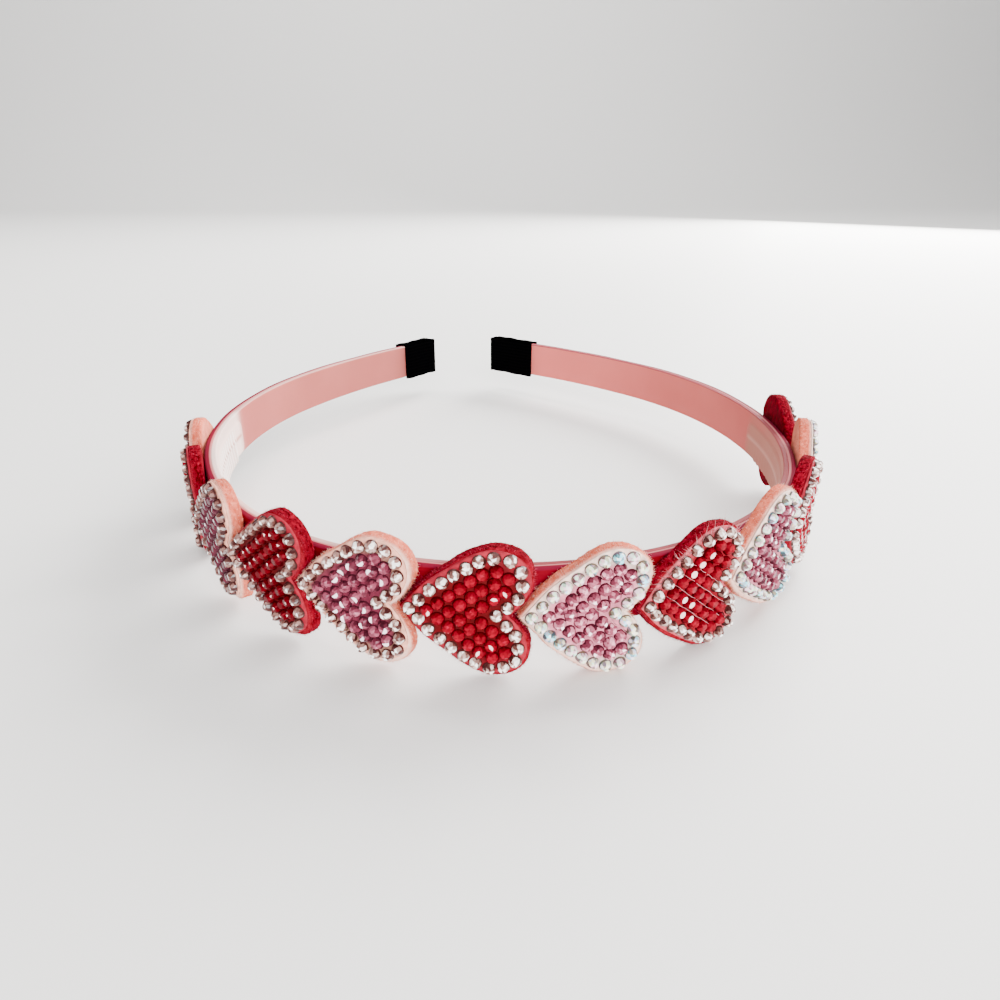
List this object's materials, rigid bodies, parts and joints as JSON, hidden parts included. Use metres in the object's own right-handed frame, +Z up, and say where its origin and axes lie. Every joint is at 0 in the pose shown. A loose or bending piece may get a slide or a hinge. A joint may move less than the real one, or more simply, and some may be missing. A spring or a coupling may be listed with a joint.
{
  "type": "heart headband",
  "caption": "Open oval headband with a satin ribbon on its outer face, taped tips and a front row of sideways felt hearts set with cut stones, lying on its side.",
  "frame": {"origin": "centre of the bounding box's bottom face, on the surface that the lower lobes of the hearts rest on", "axes": "+Y from the middle of the heart row towards the two tips, +Z up and square to the band's lower edge, +X to the right as seen from in front of the hearts"},
  "size_m": [0.1342, 0.166, 0.0235],
  "materials": {
    "band_plastic": "smooth, pale and slightly see-through, with a soft gloss",
    "ribbon_satin": "crimson satin with a soft rose sheen",
    "cap_tape": "matte black woven tape",
    "felt_red": "red felt with a short nap",
    "felt_pink": "pale pink felt with a short nap",
    "stones_clear": "foiled clear cut glass, bright",
    "stones_aurora": "foiled clear cut glass with a rainbow coating",
    "stones_red": "foiled deep red cut glass, bright",
    "stones_rose": "foiled lilac-rose cut glass, bright"
  },
  "bodies": {
    "root": {"band_core": "band_plastic", "ribbon": "ribbon_satin", "end_cap_left": "cap_tape", "end_cap_right": "cap_tape", "heart_01_felt": "felt_pink", "heart_01_stones": "stones_clear", "heart_02_felt": "felt_red", "heart_02_stones": "stones_clear", "heart_03_felt": "felt_pink", "heart_03_stones": "stones_clear", "heart_04_felt": "felt_red", "heart_04_stones": "stones_clear", "heart_05_felt": "felt_pink", "heart_05_stones": "stones_clear", "heart_06_felt": "felt_red", "heart_06_stones": "stones_clear", "heart_07_felt": "felt_pink", "heart_07_stones": "stones_aurora", "heart_08_felt": "felt_red", "heart_08_stones": "stones_clear", "heart_09_felt": "felt_pink", "heart_09_stones": "stones_aurora", "heart_10_felt": "felt_red", "heart_10_stones": "stones_clear", "heart_11_felt": "felt_pink", "heart_11_stones": "stones_aurora", "heart_12_felt": "felt_red", "heart_12_stones": "stones_clear"}
  },
  "joints": []
}
